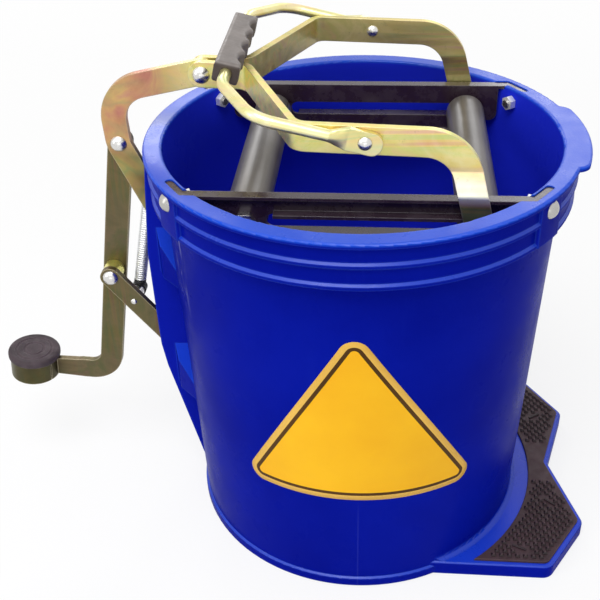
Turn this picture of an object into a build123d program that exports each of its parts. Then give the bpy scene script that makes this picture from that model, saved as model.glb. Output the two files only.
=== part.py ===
from build123d import *
import os
from math import acos, asin, cos, degrees, hypot, pi, radians, sin, sqrt, tan

# Foot-pedal mop bucket with a two-roller wringer.
# Millimetres. Origin on the floor under the bucket's axis, +X to the foot plate,
# -X to the pedal, +Y to the back, +Z up.

os.makedirs("parts", exist_ok=True)

# Bucket
HEIGHT = 335.0
RIM_R = 160.0
RIM_W = 11.0
BODY_TOP_R = RIM_R - RIM_W
TAPER = 12.0
BODY_BASE_R = BODY_TOP_R - TAPER
WALL = 3.2
FLOOR_ROUND = 9.0
PLINTH_PROUD = 2.0
PLINTH_R = BODY_BASE_R + PLINTH_PROUD
PLINTH_H = 9.0
FLOOR_T = 5.0
RIM_T = 3.6
LIP_H = 4.0
BAND_IN = 3.6
BAND_R = RIM_R - BAND_IN
BEAD_PROUD = 1.8
BEAD_R = BAND_R + BEAD_PROUD
BEAD_1_Z = HEIGHT - 18.0
SKIRT_Z = HEIGHT - 36.0
SKIRT_T = 3.2
SPOUT_PROUD = 5.6
SPOUT_R = RIM_R + SPOUT_PROUD
SPOUT_HALF = 53.0
SPOUT_ROUND = 11.0

# Pivot fins on the pedal side, set out from the wall's top edge
WALL_X = -BODY_TOP_R
FIN_IN = 15.0
FIN_T = 4.5
FIN_OUT = FIN_IN + FIN_T
FIN_TOP = HEIGHT - 15.0
FIN_OUTER_EDGE = [
    (WALL_X - 10.5, FIN_TOP),
    (WALL_X - 12.8, HEIGHT - 39.0),
    (WALL_X - 17.0, HEIGHT - 97.0),
    (WALL_X - 16.2, HEIGHT - 148.0),
    (WALL_X - 15.4, HEIGHT - 185.0),
    (WALL_X - 12.0, HEIGHT - 208.0),
]
FIN_LOW = 22.0
FIN_SINK = 1.2785
SOCKET_DEPTH = 3.2
GUSSET_TOPS = (HEIGHT - 73.0, HEIGHT - 184.2)
GUSSET_H = 40.0
GUSSET_OUT = 10.6
GUSSET_REACH = 25.0

# Foot plate and tread pad
PLATE_H = 12.5
PLATE_HALF = BODY_BASE_R - 15.5
PLATE_CORNER_X = BODY_BASE_R + 23.0
PLATE_TIP_X = BODY_BASE_R + 56.0
PLATE_TIP_Y = 70.0
PLATE_NOTCH_X = BODY_BASE_R + 35.0
PLATE_ROUND = 1.8
COVE_R = 5.0
PAD_INSET = 4.0
PAD_T = 2.2
PAD_GAP = 16.5
PAD_INNER_R = BODY_BASE_R + PAD_GAP
PAD_ROUND = 0.7

# Wringer rails
SHEET = 2.5
RAIL_IN = BODY_TOP_R - 56.0
RAIL_OUT = RAIL_IN + SHEET
RAIL_TOP = HEIGHT - 0.9
RAIL_BASE = HEIGHT - 41.5
FLANGE_OUT = RAIL_OUT + 5.5
FOOT_IN = RAIL_IN - 4.5
FOOT_BEND_R = 3.0
FOOT_HALF = BODY_TOP_R - 57.0
RAIL_END_GAP = 0.6
RAIL_END_LOW = HEIGHT - 30.5
RAIL_END_ROUND = 6.0
SLOT_END_X = WALL_X + 89.0
LIP_OUT = RAIL_OUT + 7.3
BOLT_Z = HEIGHT - 11.0
BOLT_R = 3.0
BOSS_HALF = 13.0
BOSS_FACE = BEAD_R + 0.2
HEAD_SEAT = BOSS_FACE - 0.2
BOLT_OFF = 0.9081
BOLT_ANGLE = degrees(asin((RAIL_IN - BOLT_OFF) / HEAD_SEAT))
LUG_FACE = BODY_TOP_R + 1.0
LUG_LOW = HEIGHT - 21.0
LUG_T = (-9.5, 15.5)
CAP_FACE = (BODY_TOP_R - 0.6, BODY_TOP_R + 4.6)

# Rollers and axles
ROLLER_R = 15.0
ROLLER_HALF = RAIL_IN - 5.5
HUB_R = 6.5
ROLLER_Z = HEIGHT - 21.1
FIXED_X = WALL_X + 74.5
SLIDE_X = BODY_TOP_R - 67.0
AXLE_R = 3.5
BUSH_R = 5.0

# Flat bars of the linkage
BAR = 19.0
BAR_T = 5.0
SIDE_GAP = 0.2
HALF_T = BAR_T / 2
RIVET_R = 4.0
HEAD_R = 6.5
HEAD_H = 4.0

# Lower link
LINK_W = 17.0
SPACER_L = 11.0
SPACER_R = 8.2

# Pivots in the XZ plane
PIVOT_A = (WALL_X - 7.3, HEIGHT - 70.5)
PIVOT_B = (WALL_X - 8.5, HEIGHT - 181.5)
PIVOT_J = (WALL_X + 35.1, HEIGHT + 46.3)
PIVOT_P1 = (WALL_X - 33.4, HEIGHT - 10.8)
PIVOT_P2 = (WALL_X - 52.5, HEIGHT - 125.1)
SPRING_PIN = (WALL_X - 35.8, HEIGHT - 147.6)
SPRING_ANCHOR = (WALL_X - 15.0, HEIGHT - 46.0)
CRANK_BEND = (WALL_X - 35.5, HEIGHT + 30.8)
CRANK_BEND_R = 28.0
LEVER_BEND = (WALL_X - 70.6, 101.5)
LEVER_BEND_R = 19.0

# Yoke
YOKE_SLOPE = 2.1
ARM_IN = RAIL_OUT + 3.3
ARM_OUT = ARM_IN + BAR_T
LEG_IN = LIP_OUT + 0.6
LEG_OUT = LEG_IN + BAR_T
FLARE_TOP = HEIGHT + 21.0
FLARE_LOW = HEIGHT + 5.0
FLARE_R = 6.0
BAIL_X = 5.9
LEG_LEAN = 14.5
LEG_BEND_R = 30.0
APEX_X = PIVOT_J[0] + 32.9
ELBOW_X = APEX_X + 42.7
AXLE_RISE = 4.4
AXLE_DROP = 7.7
AXLE_SIDE = 0.55

# Pedal
EYE_X = WALL_X - 139.5
EYE_Z = 106.5
EYE_R = 21.0
EYE_H = 18.0
ARM_END_H = 16.5
PEDAL_TILT = 6.0
CAP_R = 22.5
CAP_H = 6.0

# Return spring
WIRE_R = 0.8
COIL_R = 4.2
PITCH = 2.06
FOOT_REACH = 8.5
TOP_REACH = 12.0
PLUG_R = 4.2
EYE_PLUG_R = 6.2
SPRING_Y = 8.2
SPRING_PIN_R = 2.2
PLUG_HALF_T = 3.5
COLLAR_T = 2.4
PIN_COLLAR_R = 5.2

# Carry bail
BAIL_RISE = 13.4
BAIL_REACH = 97.0
BAIL_ROD_R = 4.0
BAIL_Y = ARM_OUT + 0.5 + BAIL_ROD_R
BAIL_BEND_U = 71.5
BAIL_INNER_Y = 69.0
BAIL_BEND_R = 24.0
BAIL_EYE_REACH = 11.2
BAIL_EYE_HALF = 7.6
BAIL_EYE_ROUND = 6.8
BAIL_EYE_T = 4.0
BAIL_NECK = 12.0
BAIL_HEAD_R = 4.6
GRIP_HALF = 51.0
GRIP_W = 17.5
GRIP_H = 15.0
GRIP_ROUND = 3.0

# Clearances
SNUG = 0.02
RUN = 0.06
HEAD_ROOM = 0.5
OPEN_PIVOT = 1.3
LOOSE_EYE = 1.95

LOW = (Align.CENTER, Align.CENTER, Align.MIN)


def wall_r(z):
    """Outer radius of the bucket's tapering wall."""
    return BODY_BASE_R + (BODY_TOP_R - BODY_BASE_R) * (z - PLINTH_H) / (HEIGHT - PLINTH_H)


def outline(points):
    """Face inside a closed run of (x, y) or (x, y, corner radius) points."""
    spans = []
    count = len(points)
    for i, point in enumerate(points):
        here = Vector(point[0], point[1])
        if len(point) == 2:
            spans.append((here, None, here))
            continue
        before = points[i - 1]
        after = points[(i + 1) % count]
        to_before = (Vector(before[0], before[1]) - here).normalized()
        to_after = (Vector(after[0], after[1]) - here).normalized()
        half = acos(max(-1.0, min(1.0, to_before.dot(to_after)))) / 2
        reach = point[2] / tan(half)
        middle = here + (to_before + to_after).normalized() * (point[2] / sin(half) - point[2])
        spans.append((here + to_before * reach, middle, here + to_after * reach))
    edges = []
    for i, (start, middle, end) in enumerate(spans):
        if middle is not None:
            edges.append(ThreePointArc(start, middle, end))
        follow = spans[(i + 1) % count][0]
        if (follow - end).length > 1e-4:
            edges.append(Line(end, follow))
    return make_face(edges)


def strap(points, width, radius):
    """Flat bar outline along a bent centre line, with round ends."""
    if len(points) > 2:
        line = FilletPolyline(*points, radius=radius)
    else:
        line = Line(*points)
    shape = trace(line, line_width=width)
    for end in (points[0], points[-1]):
        shape = shape + Pos(*end) * Circle(width / 2)
    return shape


def plate(shape, y_low, y_high):
    """Extrude an outline drawn in X and Z between two Y values."""
    back = Plane((0, y_high, 0), x_dir=(1, 0, 0), z_dir=(0, -1, 0))
    return extrude(back * shape, amount=y_high - y_low, dir=(0, -1, 0))


def cross_pin(at, y_low, y_high, radius):
    """Round bar along Y at an (x, z) point."""
    base = Plane((at[0], y_low, at[1]), x_dir=(1, 0, 0), z_dir=(0, 1, 0))
    return base.location * Cylinder(radius, y_high - y_low, align=LOW)


def dome(radius, height):
    """Domed rivet head standing on z = 0."""
    ball = (radius * radius + height * height) / (2 * height)
    half = asin(min(1.0, radius / ball)) / 2
    mid = (ball * sin(half), height - ball + ball * cos(half))
    rise = ThreePointArc((radius, 0), mid, (0, height))
    profile = make_face([Line((0, 0), (radius, 0)), rise, Line((0, height), (0, 0))])
    return revolve(Plane.XZ * profile, axis=Axis.Z)


def cross_dome(at, y, direction, radius, height):
    """Domed head on a face at y, standing out along +Y or -Y."""
    base = Plane((at[0], y, at[1]), x_dir=(1, 0, 0), z_dir=(0, direction, 0))
    return base.location * dome(radius, height)


def save(node, shape):
    """Write one named piece."""
    shape.label = node
    export_step(shape, "parts/" + node + ".step")


def mirror_x(shape):
    return mirror(shape, about=Plane.YZ)


def mirror_y(shape):
    return mirror(shape, about=Plane.XZ)


def corner_place(radial, tangent, z):
    """Place at the bolt corner on the +X +Y side: local x radial, local y tangential."""
    a = radians(BOLT_ANGLE)
    spot = (radial * cos(a) - tangent * sin(a), radial * sin(a) + tangent * cos(a), z)
    return Plane(spot, x_dir=(cos(a), sin(a), 0), z_dir=(0, 0, 1)).location


def corner_box(radial, tangent, z):
    """Box at the bolt corner between (low, high) pairs of radial, tangential and height values."""
    middle = corner_place(sum(radial) / 2, sum(tangent) / 2, sum(z) / 2)
    return middle * Box(radial[1] - radial[0], tangent[1] - tangent[0], z[1] - z[0])


def corner_slot(radial, tangent, z):
    """As corner_box, with rounded plan corners."""
    middle = corner_place(sum(radial) / 2, sum(tangent) / 2, z[0])
    wide = radial[1] - radial[0]
    return middle * extrude(RectangleRounded(wide, tangent[1] - tangent[0], wide * 0.48), z[1] - z[0])


def tongue_plan(spread):
    """Plan of the rail's end tongue on the +X +Y side, grown by a clearance."""
    a = radians(BOLT_ANGLE)
    reach = LUG_FACE + SHEET / 2
    low = RAIL_IN - spread
    high = FLANGE_OUT + spread
    back = FOOT_HALF + 8.0
    return outline([(back, low), ((reach - low * sin(a)) / cos(a), low),
                    ((reach - high * sin(a)) / cos(a), high), (back, high)])


def four_corners(shape):
    """A corner feature and its mirror images."""
    pair = [shape, mirror_x(shape)]
    return pair + [mirror_y(s) for s in pair]


def corner_axis(radial):
    """Radial line of a rim bolt, starting at a radius and running outward."""
    a = radians(BOLT_ANGLE)
    foot = (radial * cos(a), radial * sin(a), BOLT_Z)
    return Plane(foot, x_dir=(0, 0, 1), z_dir=(cos(a), sin(a), 0)).location


# Bucket: turned body first
inner_base = wall_r(FLOOR_T) - WALL
bead_2 = SKIRT_Z + 2.2
body_profile = outline([
    (0, FLOOR_T),
    (inner_base, FLOOR_T, FLOOR_ROUND),
    (BODY_TOP_R - WALL, HEIGHT, 2.0),
    (RIM_R, HEIGHT, 1.6),
    (RIM_R, HEIGHT - LIP_H, 0.8),
    (BAND_R, HEIGHT - LIP_H - 1.0),
    (BAND_R, BEAD_1_Z + 2.6),
    (BEAD_R, BEAD_1_Z + 1.0, 0.6),
    (BEAD_R, BEAD_1_Z - 1.0, 0.6),
    (BAND_R - 1.0, BEAD_1_Z - 2.6),
    (BAND_R - 1.0, bead_2 + 2.2),
    (BAND_R + 0.8, bead_2 + 0.6, 0.6),
    (BAND_R + 0.8, SKIRT_Z, 0.8),
    (BAND_R - 1.0 - SKIRT_T, SKIRT_Z),
    (BAND_R - 1.0 - SKIRT_T, HEIGHT - RIM_T),
    (wall_r(HEIGHT - RIM_T), HEIGHT - RIM_T),
    (wall_r(PLINTH_H), PLINTH_H),
    (PLINTH_R, PLINTH_H - 1.2, 0.8),
    (PLINTH_R, 0, 1.2),
    (0, 0),
])
bucket = revolve(Plane.XZ * body_profile, axis=Axis.Z)

# Pouring spout: a flatter lip on the foot plate side
spout_plan = Circle(SPOUT_R) & Pos(SPOUT_R, 0) * Rectangle(SPOUT_HALF, 2 * SPOUT_HALF)
spout_plan = fillet(spout_plan.vertices().sort_by(Axis.X)[-2:], SPOUT_ROUND)
spout = Pos(0, 0, HEIGHT - RIM_T) * extrude(spout_plan, RIM_T)
spout = spout - Pos(0, 0, HEIGHT - RIM_T) * Cylinder(BODY_TOP_R, RIM_T, align=LOW)
outer_top = spout.edges().filter_by(lambda e: e.center().Z > HEIGHT - 0.01 and e.center().X > BODY_TOP_R + 1)
bucket = bucket + fillet(outer_top, 1.6)

# Pivot fins and their gussets, each under a sloping roof
fin_wall = WALL / 2
fin_inner_edge = [(-wall_r(FIN_LOW) + fin_wall, FIN_LOW), (-wall_r(FIN_TOP) + fin_wall, FIN_TOP)]
fin_face = outline(fin_inner_edge + FIN_OUTER_EDGE + [(-wall_r(FIN_LOW) + FIN_SINK, FIN_LOW)])
ear_top = SPRING_ANCHOR[1] + 11.0
ear_low = SPRING_ANCHOR[1] - 21.0
ear = outline([
    (-wall_r(ear_top) + fin_wall, ear_top),
    (SPRING_ANCHOR[0] - 2.0, ear_top, 3.0),
    (SPRING_ANCHOR[0] - 6.8, SPRING_ANCHOR[1] + 5.0, 3.0),
    (SPRING_ANCHOR[0] - 6.8, SPRING_ANCHOR[1] - 6.0, 3.0),
    (SPRING_ANCHOR[0] + 2.0, SPRING_ANCHOR[1] - 20.0, 3.0),
    (-wall_r(ear_low) + fin_wall, ear_low),
])
bucket = bucket + plate(fin_face, -FIN_OUT, -FIN_IN)
bucket = bucket + plate(fin_face, FIN_IN, FIN_OUT)
bucket = bucket + plate(ear, FIN_IN, FIN_OUT)
for top in GUSSET_TOPS:
    seat = -wall_r(top)
    tip_y = -FIN_OUT - GUSSET_REACH
    plan = outline([
        (seat - GUSSET_OUT, -FIN_IN - 1.0),
        (seat - GUSSET_OUT, -FIN_OUT),
        (seat - GUSSET_OUT + 4.0, -FIN_OUT - 0.4 * GUSSET_REACH),
        (seat + 8.6, tip_y),
        (seat + 2.5, -FIN_IN - 1.0),
    ])
    block = Pos(0, 0, top - GUSSET_H) * extrude(plan, GUSSET_H)
    side = Plane((seat - 2 * GUSSET_OUT, 0, 0), x_dir=(0, 1, 0), z_dir=(1, 0, 0))
    above_roof = outline([(-FIN_OUT, top), (tip_y - 1.0, top - GUSSET_REACH - 1.0), (tip_y - 1.0, top + 1.0),
                          (-FIN_OUT, top + 1.0)])
    block = block - extrude(side * above_roof, 4 * GUSSET_OUT)
    bucket = bucket + block + mirror_y(block)

# Foot plate, with a cove where the wall rises from it
plate_back = sqrt((BODY_BASE_R - WALL / 2) ** 2 - PLATE_HALF ** 2)
plate_half = [(plate_back, -PLATE_HALF), (PLATE_CORNER_X, -PLATE_HALF, 11.0),
              (PLATE_TIP_X, -PLATE_TIP_Y, 9.0), (PLATE_NOTCH_X, 0, 6.0)]
plate_points = plate_half + [(p[0], -p[1]) + tuple(p[2:]) for p in reversed(plate_half[:3])]
plate_face = outline(plate_points)
foot_plate = extrude(plate_face, PLATE_H)
foot_plate = fillet(foot_plate.edges().group_by(Axis.Z)[-1], PLATE_ROUND)
foot_plate = foot_plate - Cylinder(BODY_BASE_R - WALL / 2, PLATE_H, align=LOW)
foot_r = wall_r(PLATE_H)
cove_mid = COVE_R * (1 - cos(radians(45.0)))
cove_arc = ThreePointArc((foot_r + COVE_R, PLATE_H), (foot_r + cove_mid, PLATE_H + cove_mid),
                         (foot_r, PLATE_H + COVE_R))
cove_low = PLATE_H - PLATE_ROUND
cove_face = make_face([
    cove_arc,
    Line((foot_r, PLATE_H + COVE_R), (foot_r - WALL / 2, PLATE_H + COVE_R)),
    Line((foot_r - WALL / 2, PLATE_H + COVE_R), (foot_r - WALL / 2, cove_low)),
    Line((foot_r - WALL / 2, cove_low), (foot_r + COVE_R, cove_low)),
    Line((foot_r + COVE_R, cove_low), (foot_r + COVE_R, PLATE_H)),
])
cove = revolve(Plane.XZ * cove_face, axis=Axis.Z)
cove_plan = offset(plate_face, amount=-PLATE_ROUND)
bucket = bucket + foot_plate + (cove & extrude(cove_plan, PLATE_H + 2 * COVE_R))

# Rim bosses, then the pockets, notches and bolt holes for the rails
boss_low = SKIRT_Z + 1.0
boss_h = HEIGHT - RIM_T - boss_low
boss_ring = Cylinder(BOSS_FACE, boss_h, align=LOW) - Cylinder(BODY_TOP_R - WALL / 2, boss_h, align=LOW)
boss_zone = corner_box((BODY_BASE_R, RIM_R), (-BOSS_HALF, BOSS_HALF), (0, HEIGHT))
boss = Pos(0, 0, boss_low) * boss_ring & boss_zone
for boss_place in four_corners(boss):
    bucket = bucket + boss_place
head_seat = corner_axis(HEAD_SEAT) * Cylinder(HEAD_R + 0.4, RIM_R, align=LOW)
pocket = corner_slot((CAP_FACE[0] - 0.3, CAP_FACE[1] + 0.3), (LUG_T[0] - 0.4, LUG_T[1] + 0.4),
                     (RAIL_TOP - SHEET - 0.4, HEIGHT + 1.0))
pocket = pocket + corner_box((LUG_FACE - 0.2, LUG_FACE + SHEET + 0.2), (LUG_T[0] - 0.4, LUG_T[1] + 0.4),
                             (LUG_LOW - 0.6, RAIL_TOP))
notch = Pos(0, 0, RAIL_TOP - SHEET - 0.3) * extrude(tongue_plan(0.4), HEIGHT)
bolt_in = wall_r(BOLT_Z) - 3 * WALL
bolt_hole = corner_axis(bolt_in) * Cylinder(BOLT_R + SNUG, RIM_R - bolt_in, align=LOW)
for cut in four_corners(pocket) + four_corners(notch) + four_corners(bolt_hole) + four_corners(head_seat):
    bucket = bucket - cut

# Pivot holes: blind in the front fin, through in the rear fin
for at in (PIVOT_A, PIVOT_B):
    bucket = bucket - cross_pin(at, -FIN_IN - SOCKET_DEPTH, FIN_OUT + 1.0, RIVET_R + SNUG)
    bucket = bucket - cross_pin(at, FIN_OUT, FIN_OUT + 2 * HEAD_H, HEAD_R + HEAD_ROOM)
bucket = bucket - cross_pin(SPRING_ANCHOR, FIN_IN - 1.0, FIN_OUT + 1.0, SPRING_PIN_R + SNUG)
save("bucket", bucket)

# Tread pad
pad = extrude(offset(plate_face, amount=-PAD_INSET), PAD_T) - Cylinder(PAD_INNER_R, PAD_T, align=LOW)
pad = fillet(pad.edges().group_by(Axis.Z)[-1], PAD_ROUND)
save("foot_pad", Pos(0, 0, PLATE_H) * pad)

# Rails: web, top flange, rounded foot, slot with turned-out lips, and end tongues into the rim
rail_r = wall_r(RAIL_END_LOW) - WALL - RAIL_END_GAP


def rail_strip(x_mid, half, y_low, y_high, z_low):
    """Flat strip of the rail's sheet."""
    middle = Pos(x_mid, (y_low + y_high) / 2, z_low + SHEET / 2)
    return middle * Box(2 * half, y_high - y_low, SHEET)


slot_r = BUSH_R + 0.2
slot_left = SLOT_END_X + slot_r
slot_right = SLIDE_X + 0.6
web_half = sqrt(rail_r ** 2 - RAIL_OUT ** 2)
slot_mid = (slot_left + slot_right) / 2
slot_half = (slot_right - slot_left) / 2
rail_mid = RAIL_IN + SHEET / 2
foot_mid = RAIL_BASE + SHEET / 2
foot_line = FilletPolyline((rail_mid, ROLLER_Z - slot_r), (rail_mid, foot_mid), (FOOT_IN, foot_mid),
                           radius=FOOT_BEND_R + SHEET / 2)
foot_end = Plane((-FOOT_HALF, 0, 0), x_dir=(0, 1, 0), z_dir=(1, 0, 0))
foot_section = foot_end * trace(foot_line, line_width=SHEET)
rail = plate(outline([(-web_half, RAIL_TOP), (-web_half, RAIL_END_LOW, RAIL_END_ROUND),
                      (web_half, RAIL_END_LOW, RAIL_END_ROUND), (web_half, RAIL_TOP)]), RAIL_IN, RAIL_OUT)
rail = rail + extrude(foot_section, amount=2 * FOOT_HALF, dir=(1, 0, 0))
rail = rail + rail_strip(0, RIM_R, RAIL_IN, FLANGE_OUT, RAIL_TOP - SHEET)
rail = rail + rail_strip(slot_mid, slot_half, RAIL_IN, LIP_OUT, ROLLER_Z + slot_r)
rail = rail + rail_strip(slot_mid, slot_half, RAIL_IN, LIP_OUT, ROLLER_Z - slot_r - SHEET)
rail = rail & Pos(0, 0, RAIL_BASE) * Cylinder(rail_r, HEIGHT - RAIL_BASE, align=LOW)
slot_face = strap([(slot_left, ROLLER_Z), (slot_right, ROLLER_Z)], 2 * slot_r, 0)
slot_cut = plate(slot_face, RAIL_IN - 1, RAIL_OUT + 1)
rail = rail - slot_cut - cross_pin((FIXED_X, ROLLER_Z), RAIL_IN - 1, RAIL_OUT + 1, AXLE_R + SNUG)
tongue = Pos(0, 0, RAIL_TOP - SHEET) * extrude(tongue_plan(0), SHEET)
tongue = tongue + corner_slot(CAP_FACE, LUG_T, (RAIL_TOP - SHEET, RAIL_TOP))
lug = corner_box((LUG_FACE, LUG_FACE + SHEET), LUG_T, (LUG_LOW, RAIL_TOP - SHEET / 2))
tongue = tongue + lug - bolt_hole
rail = rail + tongue + mirror_x(tongue)
save("rear_rail", rail)
save("front_rail", mirror_y(rail))

# Rim bolts and nuts
nut_face = wall_r(BOLT_Z) - WALL - 0.35
nut_h = 5.0
bolt = corner_axis(nut_face - nut_h - 1.5) * Cylinder(BOLT_R, HEAD_SEAT - nut_face + nut_h + 1.5, align=LOW)
bolt = bolt + corner_axis(HEAD_SEAT) * dome(HEAD_R, HEAD_H)
nut = corner_axis(nut_face - nut_h) * (extrude(RegularPolygon(5.77, 6), nut_h)
                                       - Cylinder(BOLT_R + SNUG, 20.0))
save("rail_bolts", Compound(children=four_corners(bolt)))
save("rail_nuts", Compound(children=four_corners(nut)))

# Rollers and their axles
fixed_at = (FIXED_X, ROLLER_Z)
slide_at = (SLIDE_X, ROLLER_Z)


def roller(at, hub_end):
    """Plain roller with eased ends and short hubs, bored for its axle."""
    body = cross_pin(at, -ROLLER_HALF, ROLLER_HALF, ROLLER_R)
    body = fillet(body.edges().filter_by(GeomType.CIRCLE), 1.5)
    body = body + cross_pin(at, -hub_end, hub_end, HUB_R)
    return body - cross_pin(at, -hub_end, hub_end, AXLE_R + RUN)


def hex_nut(at, y, flats, height, hole):
    """Hexagon nut along Y, its seat at y, growing outward."""
    turned = Plane((at[0], y, at[1]), x_dir=(1, 0, 0), z_dir=(0, 1, 0)).location
    return turned * (extrude(RegularPolygon(flats / sqrt(3), 6), height) - Cylinder(hole, 4 * height))


save("fixed_roller", roller(fixed_at, RAIL_IN - 0.4))
fixed_nut_h = 6.0
save("fixed_axle", cross_pin(fixed_at, -RAIL_OUT - fixed_nut_h - 1.5, RAIL_OUT + fixed_nut_h + 1.5, AXLE_R))
fixed_nut = hex_nut(fixed_at, RAIL_OUT, 13.0, fixed_nut_h, AXLE_R + SNUG)
save("fixed_axle_nuts", Compound(children=[fixed_nut, mirror_y(fixed_nut)]))

flange_t = 1.2
save("slide_roller", roller(slide_at, ROLLER_HALF))
bush = cross_pin(slide_at, ROLLER_HALF + 0.3, LEG_IN - 0.3, BUSH_R)
bush = bush + cross_pin(slide_at, ROLLER_HALF + 0.3, RAIL_IN - 0.2, HUB_R)
bush = bush + cross_pin(slide_at, RAIL_IN - flange_t - 0.2, RAIL_IN - 0.2, 8.0)
bush = bush - cross_pin(slide_at, 0, LEG_OUT, AXLE_R + SNUG)
save("slide_bushes", Compound(children=[bush, mirror_y(bush)]))
washer_y = LEG_OUT + SIDE_GAP
washer_t = 1.2
slide_nut_h = 3.0
slide_nut = hex_nut(slide_at, washer_y + washer_t, 11.0, slide_nut_h, AXLE_R + SNUG)
slide_nut = slide_nut + (cross_pin(slide_at, washer_y, washer_y + washer_t, 8.5)
                         - cross_pin(slide_at, washer_y - 1, washer_y + 3, AXLE_R + SNUG))
save("slide_axle_nuts", Compound(children=[slide_nut, mirror_y(slide_nut)]))
axle_end = washer_y + washer_t + slide_nut_h + 0.6
save("slide_axle", cross_pin(slide_at, -axle_end, axle_end, AXLE_R))

# Yoke arms: the side view and the plan of each bent bar meet in one solid
slope = tan(radians(YOKE_SLOPE))
lean = tan(radians(LEG_LEAN))


def arm_z(x):
    """Height of the yoke bar's centre line."""
    return PIVOT_J[1] - (x - PIVOT_J[0]) * slope


knee_x = (SLIDE_X - lean * (arm_z(0) - ROLLER_Z)) / (1 - lean * slope)
knee = (knee_x, arm_z(knee_x))
leg_end = (SLIDE_X + lean * AXLE_DROP, ROLLER_Z - AXLE_DROP)
side_view = strap([PIVOT_J, knee, leg_end], BAR, LEG_BEND_R)
tongue_y = HALF_T + SIDE_GAP + HALF_T
arm_mid = ARM_IN + HALF_T
plan_line = FilletPolyline((PIVOT_J[0] - BAR, tongue_y), (APEX_X, tongue_y), (ELBOW_X, arm_mid),
                           (SLIDE_X + 2 * BAR, arm_mid), radius=11.0)
plan_view = trace(plan_line, line_width=BAR_T)
leg_line = FilletPolyline((arm_mid, arm_z(0)), (arm_mid, FLARE_TOP), (LEG_IN + HALF_T, FLARE_LOW),
                          (LEG_IN + HALF_T, RAIL_BASE), radius=FLARE_R)
leg_section = Plane((ELBOW_X, 0, 0), x_dir=(0, 1, 0), z_dir=(1, 0, 0)) * trace(leg_line, line_width=BAR_T)
leg = extrude(leg_section, amount=RIM_R, dir=(1, 0, 0))
leg_top = FLARE_TOP + FLARE_R / 2
leg_zone = Pos(SLIDE_X, leg_top - 2 * BAR) * Rectangle(8 * BAR, 4 * BAR)
leg = leg & plate(side_view & leg_zone, 0, LEG_OUT + 1)
arm = plate(side_view - leg_zone, 0, ARM_OUT + 1)
arm = arm & Pos(0, 0, RAIL_BASE) * extrude(plan_view, HEIGHT)
arm = arm + leg
axle_path = [(SLIDE_X, ROLLER_Z - AXLE_DROP), (SLIDE_X, ROLLER_Z + AXLE_RISE)]
axle_slot = strap(axle_path, 2 * (AXLE_R + AXLE_SIDE), 0)
arm = arm - plate(axle_slot, LEG_IN - 1, LEG_OUT + 1)
bail_at = (BAIL_X, arm_z(BAIL_X))
arm = arm - cross_pin(bail_at, ARM_IN - 1, ARM_OUT + 1, RIVET_R + SNUG)
arm = arm - cross_pin(PIVOT_J, 0, 20.0, RIVET_R + SNUG)
save("yoke_rear_arm", arm)
save("yoke_front_arm", mirror_y(arm))
tongue_face = tongue_y + HALF_T
yoke_rivet = cross_pin(PIVOT_J, -tongue_face, tongue_face, RIVET_R)
yoke_rivet = yoke_rivet + cross_dome(PIVOT_J, -tongue_face, -1, HEAD_R, HEAD_H)
yoke_rivet = yoke_rivet + cross_dome(PIVOT_J, tongue_face, 1, HEAD_R, HEAD_H)
save("yoke_rivet", yoke_rivet)

# Bell crank on its pivot pin
crank = plate(strap([PIVOT_J, CRANK_BEND, PIVOT_P1, PIVOT_A], BAR, (CRANK_BEND_R, 20.0)), -HALF_T, HALF_T)
for at, gap in ((PIVOT_J, RUN), (PIVOT_P1, SNUG), (PIVOT_A, RUN)):
    crank = crank - cross_pin(at, -BAR, BAR, RIVET_R + gap)
save("bell_crank", crank)


def pivot_pin(at):
    """Headed pin pushed in from behind, its tip in the front fin's socket."""
    shank = cross_pin(at, -FIN_IN - SOCKET_DEPTH + 0.2, FIN_OUT, RIVET_R)
    return shank + cross_dome(at, FIN_OUT, 1, HEAD_R, HEAD_H)


def sleeve(at, y_low, y_high):
    """Spacer tube on a pivot pin."""
    return cross_pin(at, y_low, y_high, 6.0) - cross_pin(at, y_low, y_high, RIVET_R + SNUG)


save("crank_pivot_pin", pivot_pin(PIVOT_A))
crank_bushes = [sleeve(PIVOT_A, -FIN_IN, -HALF_T - SIDE_GAP), sleeve(PIVOT_A, HALF_T + SIDE_GAP, FIN_IN)]
save("crank_bushes", Compound(children=crank_bushes))

# Pedal lever: tapering foot arm with a rolled eye
lever_low = HALF_T + SIDE_GAP
lever_high = lever_low + BAR_T
lever_mid = (lever_low + lever_high) / 2
eye_reach = EYE_R - BAR_T / 2
arm_end = (EYE_X + eye_reach * cos(radians(PEDAL_TILT)), EYE_Z - eye_reach * sin(radians(PEDAL_TILT)))
lever_line = strap([PIVOT_P1, LEVER_BEND, arm_end], BAR, LEVER_BEND_R)
arm_from = LEVER_BEND[0] - 14.0
taper = outline([
    (arm_from, 0), (0, 0), (0, 400.0), (arm_from, 400.0), (arm_from, LEVER_BEND[1] + BAR / 2 + 2.5),
    (arm_from - 14.0, arm_end[1] + ARM_END_H / 2 - 0.6), (arm_end[0], arm_end[1] + ARM_END_H / 2),
    (arm_end[0], arm_end[1] - ARM_END_H / 2), (arm_from - 14.0, arm_end[1] - ARM_END_H / 2 - 2.4),
    (arm_from, LEVER_BEND[1] - BAR / 2),
])
lever = plate(lever_line & taper, lever_low, lever_high)
eye_mid = Pos(EYE_X, lever_mid, EYE_Z) * Rot(0, PEDAL_TILT, 0)
lever = lever - eye_mid * Cylinder(EYE_R - 0.5 * BAR_T, 2 * EYE_H)
lever = lever + eye_mid * (Cylinder(EYE_R, EYE_H) - Cylinder(EYE_R - BAR_T, EYE_H))
seam = eye_mid * Rot(0, 0, -32.0) * Pos(EYE_R - BAR_T / 2, 0, 0) * Box(BAR_T + 2.0, 0.8, EYE_H)
lever = lever - seam - cross_pin(PIVOT_P1, 0, 20.0, RIVET_R + RUN)
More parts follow.
